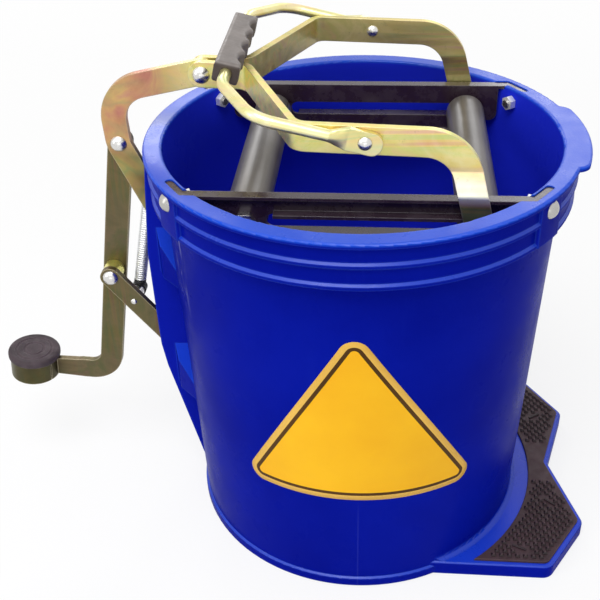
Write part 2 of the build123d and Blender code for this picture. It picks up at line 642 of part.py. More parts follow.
lever = lever - cross_pin(PIVOT_P2, 0, 20.0, RIVET_R + OPEN_PIVOT)
save("pedal_lever", lever)
crank_rivet = cross_pin(PIVOT_P1, -HALF_T, lever_high + SIDE_GAP, RIVET_R)
crank_rivet = crank_rivet + cross_dome(PIVOT_P1, -HALF_T, -1, HEAD_R, HEAD_H)
crank_rivet = crank_rivet + cross_dome(PIVOT_P1, lever_high + SIDE_GAP, 1, HEAD_R, HEAD_H)
save("crank_lever_rivet", crank_rivet)

# Rubber pedal cap with shallow rings, plugged into the eye
cap_top = CAP_H
cap_profile = outline([
    (0, -EYE_H * 0.75), (EYE_R - BAR_T - 0.15, -EYE_H * 0.75), (EYE_R - BAR_T - 0.15, 0), (CAP_R, 0, 1.2),
    (CAP_R, cap_top, 2.6), (16.5, cap_top), (15.9, cap_top - 0.7), (14.7, cap_top - 0.7), (14.1, cap_top),
    (9.5, cap_top), (8.9, cap_top - 0.7), (7.7, cap_top - 0.7), (7.1, cap_top), (0, cap_top),
])
save("pedal_cap", eye_mid * Pos(0, 0, EYE_H / 2) * revolve(Plane.XZ * cap_profile, axis=Axis.Z))

# Lower link, carried in front of the lever by a spacer
link_high = lever_low - SPACER_L
link_low = link_high - BAR_T
link = plate(strap([PIVOT_P2, PIVOT_B], LINK_W, 0), link_low, link_high)
link = link - cross_pin(PIVOT_P2, -30.0, 30.0, RIVET_R + SNUG)
link = link - cross_pin(PIVOT_B, -30.0, 30.0, RIVET_R + RUN)
link = link - cross_pin(SPRING_PIN, -30.0, 30.0, SPRING_PIN_R + SNUG)
save("lower_link", link)
spacer = cross_pin(PIVOT_P2, link_high, lever_low - SIDE_GAP, SPACER_R)
save("link_spacer", spacer - cross_pin(PIVOT_P2, -30.0, 30.0, RIVET_R + SNUG))
link_rivet = cross_pin(PIVOT_P2, link_low, lever_high + SIDE_GAP, RIVET_R)
link_rivet = link_rivet + cross_dome(PIVOT_P2, link_low, -1, HEAD_R, HEAD_H)
link_rivet = link_rivet + cross_dome(PIVOT_P2, lever_high + SIDE_GAP, 1, HEAD_R + 1.5, 3.4)
save("link_rivet", link_rivet)
save("link_pivot_pin", pivot_pin(PIVOT_B))
link_bushes = [sleeve(PIVOT_B, -FIN_IN, link_low - SIDE_GAP), sleeve(PIVOT_B, link_high + SIDE_GAP, FIN_IN)]
save("link_bushes", Compound(children=link_bushes))

# Return spring between the anchor on the rear fin and the pin on the lower link
span = hypot(SPRING_ANCHOR[0] - SPRING_PIN[0], SPRING_ANCHOR[1] - SPRING_PIN[1])
rise = ((SPRING_ANCHOR[0] - SPRING_PIN[0]) / span, (SPRING_ANCHOR[1] - SPRING_PIN[1]) / span)
plug_low = SPRING_Y - PLUG_HALF_T
plug_high = SPRING_Y + PLUG_HALF_T
spring_frame = Plane((SPRING_PIN[0], SPRING_Y, SPRING_PIN[1]), x_dir=(0, 1, 0), z_dir=(rise[0], 0, rise[1]))


def end_plug(at, direction, reach, gap):
    """Moulded plug with an eye across the spring's axis."""
    along = (direction * rise[0], 0, direction * rise[1])
    stem = Plane((at[0], SPRING_Y, at[1]), x_dir=(0, 1, 0), z_dir=along)
    neck = Cylinder(PLUG_R, reach, align=LOW) & Box(2 * PLUG_HALF_T, 3 * PLUG_R, 3 * reach)
    body = stem.location * neck
    body = body + stem.location * Pos(0, 0, reach - COLLAR_T) * Cylinder(COIL_R + WIRE_R, COLLAR_T, align=LOW)
    body = body + cross_pin(at, plug_low, plug_high, EYE_PLUG_R)
    return body - cross_pin(at, -30.0, 30.0, SPRING_PIN_R + gap)


save("spring_foot_plug", end_plug(SPRING_PIN, 1, FOOT_REACH, LOOSE_EYE))
save("spring_top_plug", end_plug(SPRING_ANCHOR, -1, TOP_REACH, RUN))
foot_pin = cross_pin(SPRING_PIN, link_low, plug_high + SIDE_GAP, SPRING_PIN_R)
foot_pin = foot_pin + cross_pin(SPRING_PIN, link_high, plug_low - SIDE_GAP, PIN_COLLAR_R)
foot_pin = foot_pin + cross_dome(SPRING_PIN, link_low, -1, SPRING_PIN_R + 0.5, 1.6)
foot_pin = foot_pin + cross_dome(SPRING_PIN, plug_high + SIDE_GAP, 1, PIN_COLLAR_R, 1.8)
save("spring_pin", foot_pin)
anchor = cross_pin(SPRING_ANCHOR, plug_low - SIDE_GAP, FIN_OUT, SPRING_PIN_R)
anchor = anchor + cross_dome(SPRING_ANCHOR, FIN_OUT, 1, 5.0, 2.4)
anchor = anchor + cross_dome(SPRING_ANCHOR, plug_low - SIDE_GAP, -1, 4.4, 1.4)
save("spring_anchor_pin", anchor)


def biarc(p0, t0, p1, t1):
    """Two arcs that leave p0 along t0, meet smoothly and reach p1 along t1."""
    step = p1 - p0
    turn = 1 - t0.dot(t1)
    both = step.dot(t0 + t1)
    reach = (-both + sqrt(both * both + 2 * turn * step.dot(step))) / (2 * turn)
    joint = (p0 + p1 + (t0 - t1) * reach) * 0.5
    first = TangentArc(p0, joint, tangent=t0)
    second = TangentArc(joint, p1, tangent=first % 1)
    return [first, second]


def wind(low, high):
    """Spring wire between two square faces: straight ends, bends and close half turns."""
    wire_d = 2 * WIRE_R
    lead = 2.4
    turn_in = radians(42.0)
    coil_low = low + wire_d + lead
    halves = int((high - wire_d - lead - coil_low) / (PITCH / 2))
    climb = (high - low - 2 * (wire_d + lead)) / halves
    up = Vector(0, 0, 1)
    tilt = climb / (pi * COIL_R)
    knots = []
    for i in range(halves + 1):
        a = pi * i
        point = Vector(COIL_R * cos(a), COIL_R * sin(a), coil_low + climb * i)
        knots.append((point, Vector(-sin(a), cos(a), tilt).normalized()))
    start = Vector(COIL_R * cos(-turn_in), COIL_R * sin(-turn_in), low)
    last = pi * halves + turn_in
    finish = Vector(COIL_R * cos(last), COIL_R * sin(last), high)
    knots = [(start + up * wire_d, up)] + knots + [(finish - up * wire_d, up)]
    edges = [Line(start, knots[0][0])]
    for (p0, t0), (p1, t1) in zip(knots, knots[1:]):
        edges = edges + biarc(p0, t0, p1, t1)
    edges.append(Line(knots[-1][0], finish))
    print("spring curls:", halves / 2, "tightest bend:",
          round(min(e.radius for e in edges if e.geom_type == GeomType.CIRCLE), 2))
    report_gap(edges)
    section = Plane(start, z_dir=up) * Circle(WIRE_R)
    return sweep(section, path=Wire(edges))


def report_gap(edges):
    """Print the least clear gap between parts of the wire that are a third of a turn or more apart."""
    points = []
    for edge in edges:
        for i in range(12):
            points.append(edge @ (i / 12))
    apart = 16
    least = min((points[i] - points[j]).length for i in range(len(points))
                for j in range(i + apart, min(i + 80, len(points))))
    print("spring least gap to itself:", round(least - 2 * WIRE_R, 3), "mm")


save("return_spring", spring_frame.location * wind(FOOT_REACH, span - TOP_REACH))

# Carry bail: bent rod with flattened eyes, grip and rivets
lift = radians(BAIL_RISE)
bail_frame = Plane((bail_at[0], 0, bail_at[1]), x_dir=(-cos(lift), 0, sin(lift)),
                   z_dir=(-sin(lift), 0, -cos(lift)))
rod_from = BAIL_EYE_REACH + BAIL_NECK
half_path = [(rod_from, BAIL_Y), (BAIL_BEND_U, BAIL_Y), (BAIL_REACH, BAIL_INNER_Y)]
path_points = half_path + [(u, -v) for u, v in reversed(half_path)]
rod_path = FilletPolyline(*path_points, radius=BAIL_BEND_R)
round_end = Plane((rod_from, BAIL_Y, 0), x_dir=(0, 1, 0), z_dir=(1, 0, 0))
rod = sweep(round_end * Circle(BAIL_ROD_R), path=rod_path)
eye_low = ARM_OUT + 0.3
eye_high = eye_low + BAIL_EYE_T
eye_plan = outline([
    (-BAIL_EYE_REACH, -BAIL_EYE_HALF, BAIL_EYE_ROUND),
    (-BAIL_EYE_REACH, BAIL_EYE_HALF, BAIL_EYE_ROUND),
    (BAIL_EYE_REACH, BAIL_EYE_HALF),
    (BAIL_EYE_REACH, -BAIL_EYE_HALF),
])
eye_plan = eye_plan - Circle(RIVET_R + RUN)
flat = plate(eye_plan, eye_low, eye_high)
flat_end = Plane((BAIL_EYE_REACH, (eye_low + eye_high) / 2, 0), x_dir=(0, 1, 0), z_dir=(1, 0, 0))
neck = loft([flat_end * Rectangle(BAIL_EYE_T, 2 * BAIL_EYE_HALF), round_end * Circle(BAIL_ROD_R)])
rod = rod + flat + neck + mirror_y(flat) + mirror_y(neck)
save("bail_rod", bail_frame.location * rod)

grip = Pos(BAIL_REACH, 0, 0) * Box(GRIP_W, 2 * GRIP_HALF, GRIP_H)
scallop_r = 15.0
scallop_depth = 3.4
scallop_pitch = 22.0
for place in (-1.5, -0.5, 0.5, 1.5):
    dip = BAIL_REACH - GRIP_W / 2 + scallop_depth - scallop_r
    grip = grip - Pos(dip, place * scallop_pitch, 0) * Cylinder(scallop_r, 2 * GRIP_H)
rims = grip.edges().filter_by(lambda e: abs(abs(e.center().Z) - GRIP_H / 2) < 0.01)
grip = fillet(rims, GRIP_ROUND)
grip = grip - Plane((BAIL_REACH, 0, 0), z_dir=(0, 1, 0)).location * Cylinder(BAIL_ROD_R + SNUG, 4 * GRIP_HALF)
save("bail_grip", bail_frame.location * grip)

bail_rivet = cross_pin(bail_at, ARM_IN, eye_high + SIDE_GAP, RIVET_R)
bail_rivet = bail_rivet + cross_dome(bail_at, ARM_IN, -1, BAIL_HEAD_R, 2.6)
bail_rivet = bail_rivet + cross_dome(bail_at, eye_high + SIDE_GAP, 1, BAIL_HEAD_R, 2.6)
save("bail_rivets", Compound(children=[bail_rivet, mirror_y(bail_rivet)]))
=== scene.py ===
import bpy
from math import ceil, cos, pi, radians, sin
from mathutils import Matrix, Vector
from mathutils.bvhtree import BVHTree


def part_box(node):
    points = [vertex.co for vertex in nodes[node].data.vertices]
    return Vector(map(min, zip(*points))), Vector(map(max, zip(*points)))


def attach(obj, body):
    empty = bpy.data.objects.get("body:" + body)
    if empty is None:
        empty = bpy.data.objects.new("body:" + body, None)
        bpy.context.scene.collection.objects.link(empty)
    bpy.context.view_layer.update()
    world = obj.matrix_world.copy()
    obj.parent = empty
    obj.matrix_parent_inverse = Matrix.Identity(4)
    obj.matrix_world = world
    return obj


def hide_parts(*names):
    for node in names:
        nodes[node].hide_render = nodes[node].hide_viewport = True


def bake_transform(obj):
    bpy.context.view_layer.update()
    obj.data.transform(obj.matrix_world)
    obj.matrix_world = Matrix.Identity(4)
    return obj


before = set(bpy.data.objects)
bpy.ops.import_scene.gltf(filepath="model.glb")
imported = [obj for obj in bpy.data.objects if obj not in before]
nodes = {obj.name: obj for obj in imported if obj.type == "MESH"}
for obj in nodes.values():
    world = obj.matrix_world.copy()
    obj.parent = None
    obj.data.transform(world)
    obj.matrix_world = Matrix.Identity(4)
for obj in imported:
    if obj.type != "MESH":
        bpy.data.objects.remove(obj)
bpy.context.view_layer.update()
scene = bpy.context.scene
scene.view_settings.view_transform = "Standard"

MM = 0.001

# Sizes repeated from the part's source, in millimetres
HEIGHT = 335.0
PLINTH_H = 9.0
BODY_TOP_R = 149.0
BODY_BASE_R = 137.0
PAD_TOP = 14.7
SPRING_PIN = Vector((-184.8, 8.2, 187.4))
SPRING_ANCHOR = Vector((-164.0, 8.2, 289.0))
FOOT_REACH = 8.5
TOP_REACH = 12.0
COIL_R = 4.2


# Material helpers

class Paint:
    """A Principled material and short ways to add nodes to it. Coordinates are metres in the CAD's frame."""

    EDGE_DOT = (0.86, 0.995)

    def __init__(self, name, **sockets):
        self.material = bpy.data.materials.new(name)
        self.material.use_nodes = True
        self.tree = self.material.node_tree
        self.shader = self.tree.nodes["Principled BSDF"]
        coordinates = self.tree.nodes.new("ShaderNodeTexCoord")
        self.place = coordinates.outputs["Object"]
        self.facing = coordinates.outputs["Normal"]
        for key, value in sockets.items():
            self.shader.inputs[key.replace("_", " ")].default_value = value

    def node(self, kind, **values):
        made = self.tree.nodes.new(kind)
        for key, value in values.items():
            setattr(made, key, value)
        return made

    def join(self, source, target):
        self.tree.links.new(source, target)

    def feed(self, socket, source):
        self.join(source, self.shader.inputs[socket])

    def stretched(self, scale):
        made = self.node("ShaderNodeMapping")
        made.inputs["Scale"].default_value = scale
        self.join(self.place, made.inputs["Vector"])
        return made.outputs["Vector"]

    def axis(self, which, vector=None):
        made = self.node("ShaderNodeSeparateXYZ")
        self.join(vector or self.place, made.inputs[0])
        return made.outputs[which]

    def noise(self, scale, detail=4.0, rough=0.55, warp=0.0, vector=None):
        made = self.node("ShaderNodeTexNoise")
        made.inputs["Scale"].default_value = scale
        made.inputs["Detail"].default_value = detail
        made.inputs["Roughness"].default_value = rough
        made.inputs["Distortion"].default_value = warp
        self.join(vector or self.place, made.inputs["Vector"])
        return made.outputs["Fac"]

    def span(self, source, low, high, start, end):
        """Carries a value from low to high while the source goes from start to end."""
        made = self.node("ShaderNodeMapRange")
        made.inputs["From Min"].default_value = start
        made.inputs["From Max"].default_value = end
        made.inputs["To Min"].default_value = low
        made.inputs["To Max"].default_value = high
        self.join(source, made.inputs["Value"])
        return made.outputs["Result"]

    def rise(self, source, start, end):
        return self.span(source, 0.0, 1.0, start, end)

    def fall(self, source, start, end):
        return self.span(source, 1.0, 0.0, start, end)

    def ramp(self, source, stops):
        made = self.node("ShaderNodeValToRGB")
        bar = made.color_ramp
        while len(bar.elements) < len(stops):
            bar.elements.new(0.5)
        for element, (at, colour) in zip(bar.elements, stops):
            element.position = at
            element.color = (*colour, 1.0)
        self.join(source, made.inputs["Fac"])
        return made.outputs["Color"]

    def mix(self, share, a, b):
        made = self.node("ShaderNodeMix", data_type="RGBA")
        self.join(share, made.inputs["Factor"])
        for value, socket in ((a, made.inputs[6]), (b, made.inputs[7])):
            if isinstance(value, tuple):
                socket.default_value = (*value, 1.0)
            else:
                self.join(value, socket)
        return made.outputs[2]

    def math(self, how, *values):
        made = self.node("ShaderNodeMath", operation=how)
        for value, socket in zip(values, made.inputs):
            if isinstance(value, (int, float)):
                socket.default_value = value
            else:
                self.join(value, socket)
        return made.outputs[0]

    def product(self, total, *others):
        for other in others:
            total = self.math("MULTIPLY", total, other)
        return total

    def band(self, source, middle, inner, outer):
        """1 where the source is within inner of the middle, down to 0 at outer."""
        off = self.math("ABSOLUTE", self.math("SUBTRACT", source, middle))
        return self.fall(off, inner, outer)

    def edge_wear_and_highlight(self, radius):
        """Near 0 on flats and near 1 along edges."""
        bevel = self.node("ShaderNodeBevel", samples=4)
        bevel.inputs["Radius"].default_value = radius
        flat = self.node("ShaderNodeNewGeometry")
        dot = self.node("ShaderNodeVectorMath", operation="DOT_PRODUCT")
        self.join(bevel.outputs["Normal"], dot.inputs[0])
        self.join(flat.outputs["Normal"], dot.inputs[1])
        return self.fall(dot.outputs["Value"], *self.EDGE_DOT)

    def bump(self, height, strength, distance, round_r=0.0):
        made = self.node("ShaderNodeBump")
        made.inputs["Strength"].default_value = strength
        made.inputs["Distance"].default_value = distance
        self.join(height, made.inputs["Height"])
        if round_r:
            bevel = self.node("ShaderNodeBevel", samples=6)
            bevel.inputs["Radius"].default_value = round_r
            self.join(bevel.outputs["Normal"], made.inputs["Normal"])
        self.join(made.outputs["Normal"], self.shader.inputs["Normal"])


# Blue plastic: colours, and places in metres as the start and end of a fade
BLUE_DEEP = (0.0012, 0.0056, 0.255)
BLUE_WALL = (0.0020, 0.0085, 0.315)
# Painted light in the next four colours: the inside painted brighter, upward faces paler, a highlight along
# edges, and the rim top paler, as if lit
BLUE_INSIDE_LIT = (0.0130, 0.0260, 0.660)
BLUE_UPWARD_LIT = (0.010, 0.070, 0.680)
BLUE_EDGE_HIGHLIGHT = (0.030, 0.090, 0.580)
BLUE_RIM_TOP_LIT = (0.014, 0.082, 0.640)
BLUE_SCUFF = (0.02, 0.045, 0.44)
BLUE_SEAM = (0.060, 0.085, 0.470)
# Painted highlight: pale streaks on the left front wall
BLUE_GLINT = (0.420, 0.450, 0.680)
RIM_FADE = (0.3322, 0.3342)
SEAM_X = 0.005
SEAM_WIDTH = (0.0002, 0.0007)
SEAM_SHARE = 0.16
SEAM_FRONT = (-0.11, -0.10)
SEAM_TOP = (0.07, 0.10)
# Place, width, spread and share of the painted highlight streaks
GLINT_X = -0.1295
GLINT_WIDTH = (0.003, 0.008)
GLINT_FRONT = (-0.05, -0.04)
GLINT_FOOT = (0.215, 0.235)
GLINT_TOP = (0.285, 0.297)
GLINT_SHARE = 0.34


def blue_colour(paint):
    """Deep on the wall, with painted light: brighter inside, paler on upward faces, along edges and on the
    rim top, and pale highlight streaks on the left front; with a seam.
    """
    x, y, z = (paint.axis(which) for which in "XYZ")
    colour = paint.mix(paint.rise(paint.noise(9.0, 3.0), 0.35, 0.68), BLUE_DEEP, BLUE_WALL)
    # Painted light: inside faces are painted brighter, as if lit from above
    outward = paint.node("ShaderNodeVectorMath", operation="DOT_PRODUCT")
    paint.join(paint.stretched((1.0, 1.0, 0.0)), outward.inputs[0])
    paint.join(paint.facing, outward.inputs[1])
    colour = paint.mix(paint.fall(outward.outputs["Value"], -0.03, 0.03), colour, BLUE_INSIDE_LIT)
    # Painted light: upward faces are painted paler, as if lit from above
    upward_light = paint.span(paint.axis("Z", paint.facing), 0.0, 0.55, 0.30, 0.75)
    colour = paint.mix(upward_light, colour, BLUE_UPWARD_LIT)
    # Painted highlight along the bucket's edges and beads
    colour = paint.mix(paint.product(paint.edge_wear_and_highlight(0.0022), 0.40), colour, BLUE_EDGE_HIGHLIGHT)
    # Painted highlight: the rim top is painted paler in patches, as if lit
    patches = paint.span(paint.noise(26.0, 5.0, 0.65), 0.72, 1.0, 0.3, 0.7)
    colour = paint.mix(paint.product(paint.rise(z, *RIM_FADE), patches), colour, BLUE_RIM_TOP_LIT)
    scuffs = paint.noise(60.0, 6.0, 0.7, 0.6, paint.stretched((1.0, 1.0, 0.12)))
    colour = paint.mix(paint.span(scuffs, 0.0, 0.08, 0.60, 0.82), colour, BLUE_SCUFF)
    seam = paint.product(paint.band(x, SEAM_X, *SEAM_WIDTH), SEAM_SHARE,
                         paint.fall(y, *SEAM_FRONT), paint.fall(z, *SEAM_TOP))
    colour = paint.mix(seam, colour, BLUE_SEAM)
    # Painted highlight streaks on the left front wall
    streaks = paint.noise(420.0, 4.0, 0.6, 0.8, paint.stretched((1.0, 1.0, 0.10)))
    glint = paint.product(paint.band(x, GLINT_X, *GLINT_WIDTH), paint.fall(y, *GLINT_FRONT),
                        paint.rise(z, *GLINT_FOOT), paint.fall(z, *GLINT_TOP),
                        paint.span(streaks, 0.0, GLINT_SHARE, 0.55, 0.68))
    return paint.mix(glint, colour, BLUE_GLINT)


def blue_plastic(name, shine):
    paint = Paint(name, IOR=1.45, Specular_IOR_Level=shine)
    paint.feed("Base Color", blue_colour(paint))
    paint.feed("Roughness", paint.span(paint.noise(40.0, 5.0), 0.24, 0.38, 0.3, 0.7))
    fine = paint.noise(900.0, 2.0)
    wave = paint.noise(14.0, 2.0)
    paint.bump(paint.math("MULTIPLY_ADD", wave, 0.6, fine), 0.10, 0.0012, 0.0012)
    return paint.material


# Tints of passivated zinc, as stops along a drifting film
OLIVE = [(0.22, (0.080, 0.060, 0.036)), (0.38, (0.130, 0.105, 0.060)), (0.50, (0.165, 0.125, 0.072)),
         (0.60, (0.120, 0.112, 0.058)), (0.74, (0.165, 0.105, 0.080)), (0.86, (0.100, 0.082, 0.046))]
# Painted shade: darker tints for the pedal eye under its cap and for the yoke's front leg at rail level
SHADE_TINTS = [(0.25, (0.040, 0.034, 0.015)), (0.50, (0.085, 0.074, 0.034)), (0.75, (0.050, 0.042, 0.020))]
BROWN = [(0.25, (0.094, 0.060, 0.030)), (0.42, (0.146, 0.104, 0.054)), (0.58, (0.186, 0.136, 0.068)),
         (0.75, (0.124, 0.070, 0.047))]
COPPER = [(0.22, (0.260, 0.100, 0.078)), (0.36, (0.440, 0.170, 0.128)), (0.48, (0.520, 0.230, 0.158)),
          (0.58, (0.560, 0.315, 0.160)), (0.70, (0.470, 0.165, 0.155)), (0.86, (0.340, 0.145, 0.096))]
GOLD = [(0.20, (0.740, 0.560, 0.160)), (0.36, (0.880, 0.720, 0.240)), (0.46, (0.940, 0.820, 0.380)),
        (0.54, (0.800, 0.760, 0.230)), (0.62, (0.900, 0.640, 0.310)), (0.74, (0.940, 0.800, 0.340)),
        (0.86, (0.740, 0.580, 0.180))]
BRONZE = [(0.22, (0.500, 0.380, 0.140)), (0.38, (0.660, 0.530, 0.200)), (0.50, (0.740, 0.620, 0.270)),
          (0.62, (0.600, 0.530, 0.180)), (0.76, (0.700, 0.490, 0.240)), (0.88, (0.520, 0.400, 0.150))]
CREAM = [(0.20, (0.800, 0.690, 0.300)), (0.42, (0.880, 0.800, 0.400)), (0.55, (0.900, 0.840, 0.500)),
         (0.66, (0.820, 0.780, 0.360)), (0.84, (0.860, 0.710, 0.400))]
YELLOW = [(0.30, (0.740, 0.650, 0.120)), (0.50, (0.880, 0.820, 0.260)), (0.70, (0.700, 0.680, 0.150))]
# Painted highlight: near-white tints for the yoke's front leg below its bend
HIGHLIGHT_TINTS = [(0.30, (0.760, 0.740, 0.660)), (0.70, (0.830, 0.810, 0.740))]
IRIDESCENT = [(0.30, (0.720, 0.290, 0.240)), (0.40, (0.860, 0.620, 0.180)), (0.50, (0.470, 0.590, 0.200)),
              (0.60, (0.880, 0.660, 0.200)), (0.72, (0.740, 0.340, 0.320))]
ZINC_WORN = (0.66, 0.58, 0.40)
ZINC_MARKS = (0.13, 0.095, 0.05)
ALONG_X = (0.08, 1.0, 1.0)
ALONG_Z = (1.0, 1.0, 0.08)
CRANK_GRAIN = (0.3, 1.0, 0.3)
ROD_GRAIN = (0.2, 0.2, 1.0)


def zinc(name, stops, rough_low, rough_high, glow, grain=ALONG_Z, zones=()):
    """Yellow-passivated zinc: oil-film tints over rolled strip. A zone fades to other tints along an axis;
    some zones paint a highlight and others paint shade.
    """
    paint = Paint(name, Metallic=0.88, Specular_IOR_Level=0.5)
    film = paint.noise(22.0, 5.0, 0.6, 1.4)
    tint = paint.ramp(film, stops)
    for axis, start, end, others in zones:
        tint = paint.mix(paint.rise(paint.axis(axis), start, end), tint, paint.ramp(film, others))
    rainbow = [(at, tuple(glow * c for c in colour)) for at, colour in IRIDESCENT]
    sheen = paint.ramp(paint.noise(46.0, 3.0, 0.5, 2.2, paint.stretched(grain)), rainbow)
    tint = paint.mix(paint.span(paint.noise(17.0, 3.0), 0.0, 0.60, 0.38, 0.64), tint, sheen)
    tint = paint.mix(paint.product(paint.edge_wear_and_highlight(0.0016), 0.55), tint, ZINC_WORN)
    marks = paint.span(paint.noise(210.0, 5.0, 0.75, 0.4), 0.0, 0.45, 0.60, 0.78)
    paint.feed("Base Color", paint.mix(marks, tint, ZINC_MARKS))
    streaks = paint.noise(160.0, 4.0, 0.6, 0.0, paint.stretched(grain))
    paint.feed("Roughness", paint.span(streaks, rough_low, rough_high, 0.3, 0.7))
    paint.bump(paint.noise(420.0, 3.0, 0.6), 0.18, 0.0002, 0.0007)
    return paint.material


def black_paint():
    """Glossy dark paint, dusty in patches and worn along its edges."""
    paint = Paint("black_paint", Specular_IOR_Level=0.45, Coat_Weight=0.22, Coat_Roughness=0.10)
    dust = paint.noise(45.0, 6.0, 0.7)
    base = paint.mix(paint.span(dust, 0.0, 0.7, 0.45, 0.75), (0.026, 0.013, 0.023), (0.068, 0.050, 0.062))
    base = paint.mix(paint.product(paint.edge_wear_and_highlight(0.0010), 0.5), base, (0.16, 0.15, 0.15))
    paint.feed("Base Color", base)
    paint.feed("Roughness", paint.span(dust, 0.18, 0.42, 0.35, 0.75))
    paint.bump(paint.noise(700.0, 2.0), 0.12, 0.0003, 0.0008)
    return paint.material


def bright_steel(name, tone, rough_low, rough_high, metal=1.0):
    """Bright zinc or drawn steel, clouded, with fine darker wear."""
    paint = Paint(name, Metallic=metal)
    clouded = tuple(0.82 * t for t in tone)
    dark = tuple(0.55 * t for t in tone)
    worn = paint.noise(520.0, 5.0, 0.7)
    base = paint.mix(paint.span(paint.noise(120.0, 4.0), 0.0, 0.5, 0.4, 0.75), tone, clouded)
    paint.feed("Base Color", paint.mix(paint.span(worn, 0.0, 0.5, 0.6, 0.8), base, dark))
    paint.feed("Roughness", paint.span(worn, rough_low, rough_high, 0.35, 0.7))
    paint.bump(paint.noise(900.0, 3.0), 0.12, 0.00015, 0.0005)
    return paint.material


def rubber(name, low, high, rough_low, rough_high, grain=1500.0, depth=0.0002, shine=0.35):
    """Dark rubber or black plastic, lighter along its edges."""
    paint = Paint(name, Specular_IOR_Level=shine)
    base = paint.mix(paint.rise(paint.noise(55.0, 5.0, 0.65), 0.35, 0.7), low, high)
    lifted = tuple(min(1.0, 2.0 * h + 0.015) for h in high)
    paint.feed("Base Color", paint.mix(paint.product(paint.edge_wear_and_highlight(0.0012), 0.6), base, lifted))
    paint.feed("Roughness", paint.span(paint.noise(170.0, 4.0), rough_low, rough_high, 0.35, 0.7))
    paint.bump(paint.noise(grain, 3.0, 0.7), 0.35, depth, 0.0010)
    return paint.material


def grip_rubber():
    """Brown-grey moulded grip, with painted shade on its ends and below."""
    paint = Paint("grip_rubber", Specular_IOR_Level=0.3)
    cloud = paint.rise(paint.noise(55.0, 5.0, 0.65), 0.35, 0.7)
    base = paint.mix(cloud, (0.170, 0.148, 0.138), (0.260, 0.228, 0.213))
    base = paint.mix(paint.product(paint.edge_wear_and_highlight(0.0012), 0.5), base, (0.400, 0.360, 0.340))
    # Painted shade: faces turned to the ends and downward are darkened
    sideways = paint.math("ABSOLUTE", paint.axis("Y", paint.facing))
    end_shade = paint.span(sideways, 0.0, 0.85, 0.75, 0.95)
    under_shade = paint.span(paint.axis("Z", paint.facing), 0.8, 0.0, -0.6, -0.2)
    paint.feed("Base Color", paint.mix(paint.math("MAXIMUM", end_shade, under_shade), base, (0.045, 0.030, 0.028)))
    paint.feed("Roughness", paint.span(paint.noise(170.0, 4.0), 0.38, 0.55, 0.35, 0.7))
    paint.bump(paint.noise(1200.0, 3.0, 0.7), 0.35, 0.0002, 0.0010)
    return paint.material


def roller_skin():
    """Dark satin roller cover with faint lengthwise drag marks."""
    paint = Paint("roller_skin", Specular_IOR_Level=0.42)
    lines = paint.noise(140.0, 4.0, 0.6, 0.0, paint.stretched((1.0, 0.03, 1.0)))
    cloud = paint.span(paint.noise(30.0, 4.0), 0.0, 0.35, 0.4, 0.75)
    base = paint.mix(paint.rise(lines, 0.35, 0.68), (0.066, 0.058, 0.054), (0.150, 0.136, 0.128))
    paint.feed("Base Color", paint.mix(cloud, base, (0.230, 0.212, 0.200)))
    paint.feed("Roughness", paint.span(lines, 0.26, 0.44, 0.3, 0.7))
    paint.bump(lines, 0.12, 0.0004, 0.0008)
    return paint.material


def nylon():
    """Natural off-white nylon, slightly see-through at its surface."""
    paint = Paint("nylon", Specular_IOR_Level=0.5, Subsurface_Weight=0.08, Subsurface_Scale=0.002)
    cloud = paint.noise(80.0, 4.0)
    paint.feed("Base Color", paint.mix(paint.rise(cloud, 0.4, 0.65), (0.62, 0.59, 0.50), (0.74, 0.71, 0.62)))
    paint.feed("Roughness", paint.span(cloud, 0.38, 0.52, 0.3, 0.7))
    paint.bump(paint.noise(700.0, 2.0), 0.1, 0.0002, 0.0005)
    return paint.material


def vinyl(name, tone, aged):
    """Sticker film with faint fading and fine scuffs."""
    paint = Paint(name, Specular_IOR_Level=0.12)
    base = paint.mix(paint.rise(paint.noise(18.0, 4.0), 0.35, 0.7), tone, aged)
    scuffs = paint.noise(260.0, 5.0, 0.75)
    paint.feed("Base Color", paint.mix(paint.span(scuffs, 0.0, 0.25, 0.64, 0.82), base, (0.55, 0.42, 0.18)))
    paint.feed("Roughness", paint.span(scuffs, 0.34, 0.50, 0.35, 0.7))
    paint.bump(paint.noise(35.0, 2.0), 0.08, 0.0006)
    return paint.material


# Materials. Zone places are metres: the pedal's eye (painted shade under the cap), the crank's top and foot,
# the yoke's front leg (a painted highlight below the bend, then a painted dark reflection at rail level)
BLUE = blue_plastic("blue_plastic", 0.010)
BLUE_LEDGE = blue_plastic("blue_ledge", 0.45)
# Painted shade on the pedal eye, under its cap
ZINC_OLIVE = zinc("zinc_olive", OLIVE, 0.34, 0.52, 0.20, zones=[("X", -0.252, -0.270, SHADE_TINTS)])
ZINC_COPPER = zinc("zinc_copper", COPPER, 0.30, 0.48, 0.80, CRANK_GRAIN,
                   [("X", -0.148, -0.120, GOLD), ("Z", 0.326, 0.313, BROWN)])
# The front leg's zones are a painted highlight below the bend and a painted dark reflection at rail level
ZINC_GOLD = zinc("zinc_gold", GOLD, 0.28, 0.44, 1.0, ALONG_X,
                 [("Z", 0.360, 0.348, HIGHLIGHT_TINTS), ("Z", 0.340, 0.333, SHADE_TINTS)])
